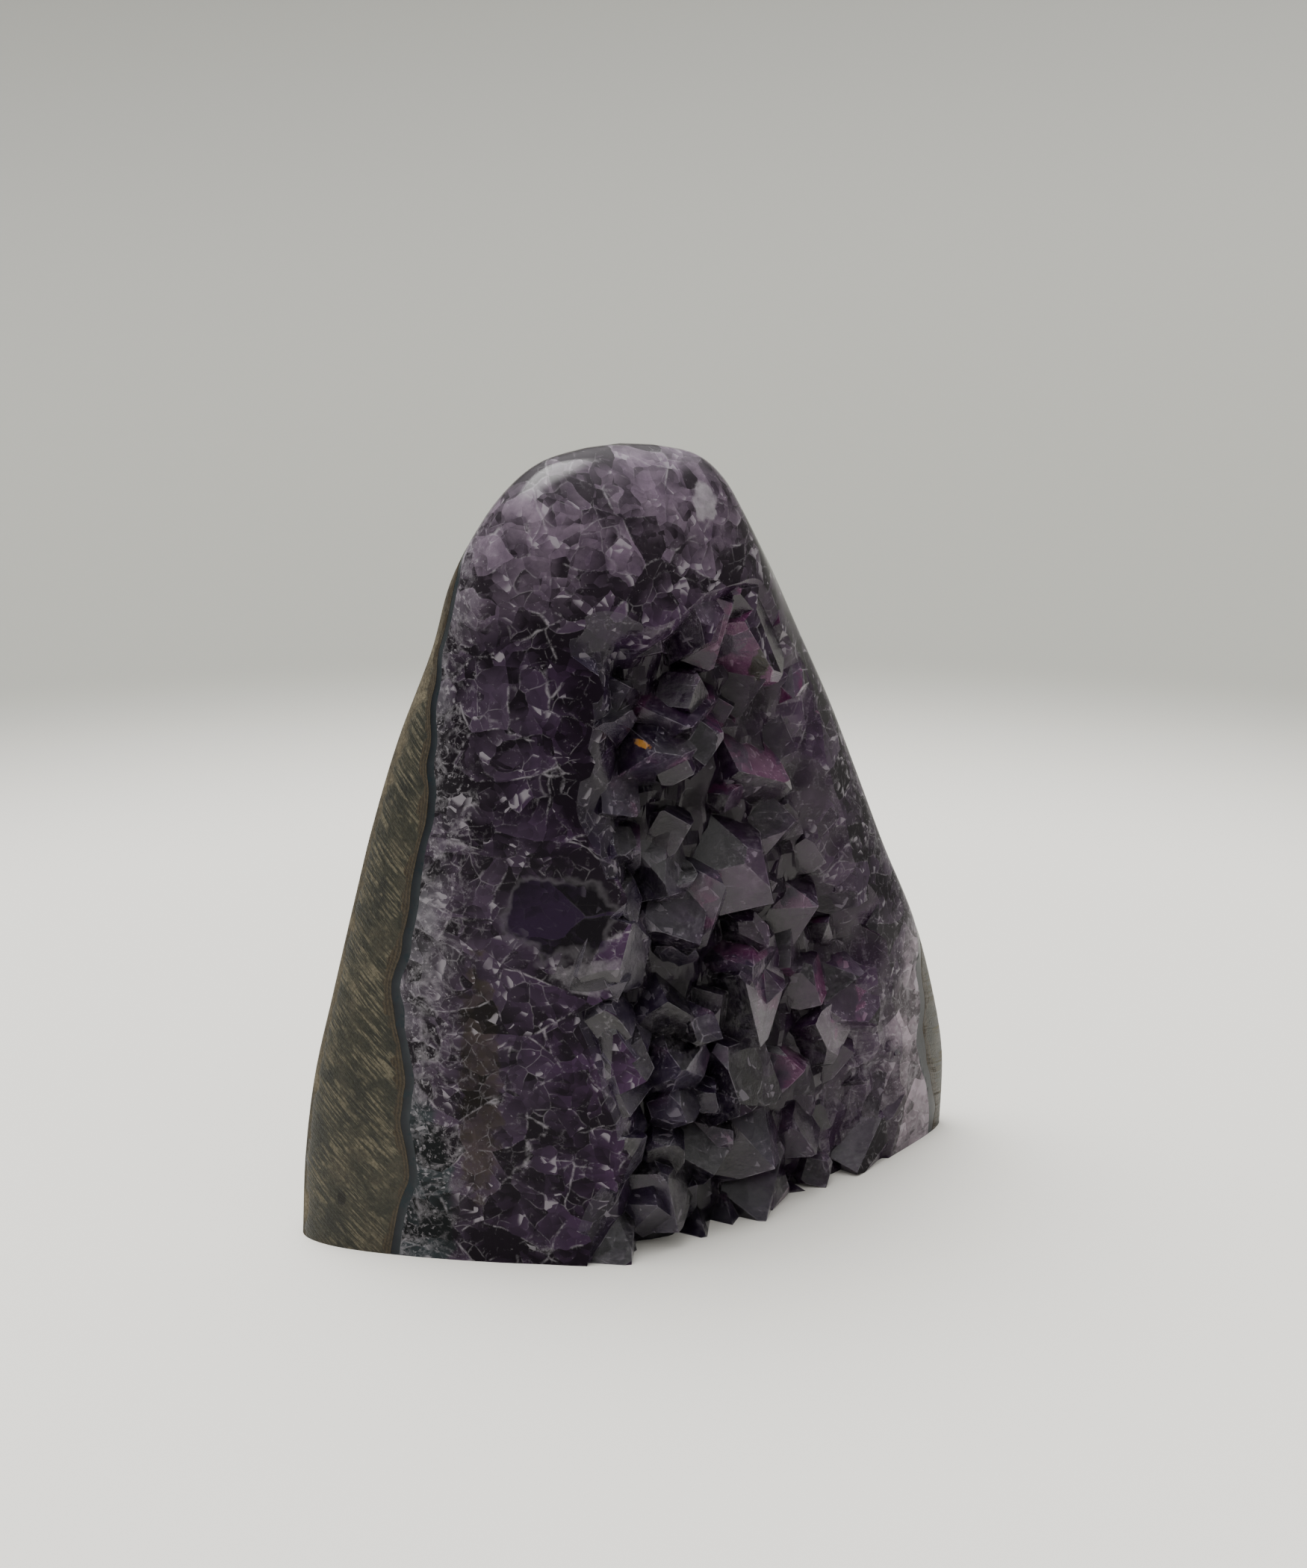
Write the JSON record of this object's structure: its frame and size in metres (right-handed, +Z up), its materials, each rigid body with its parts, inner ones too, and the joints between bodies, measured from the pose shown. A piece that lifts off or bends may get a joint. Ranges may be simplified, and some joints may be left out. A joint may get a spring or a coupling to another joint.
{
  "type": "amethyst geode",
  "caption": "Free-standing cut-base amethyst geode: a polished slab of basalt and agate with a face of natural purple crystals.",
  "frame": {"origin": "middle of the cut base's outline, on the surface that the stone stands on", "axes": "+Z up, -Y towards the viewer of the crystal face, +Y out of the hewn rock behind, +X to the viewer's right"},
  "size_m": [0.1044, 0.0392, 0.1118],
  "materials": {
    "basalt_matrix": "greenish grey-brown basalt, sawn and half polished at the sides, hewn behind",
    "agate_band": "polished slate-blue agate",
    "amethyst_crystals": "smoky purple quartz, clear to cloudy, polished at the edges and in natural faces in front"
  },
  "bodies": {
    "root": {"basalt_matrix": "basalt_matrix", "agate_band": "agate_band", "amethyst_crystals": "amethyst_crystals"}
  },
  "joints": []
}
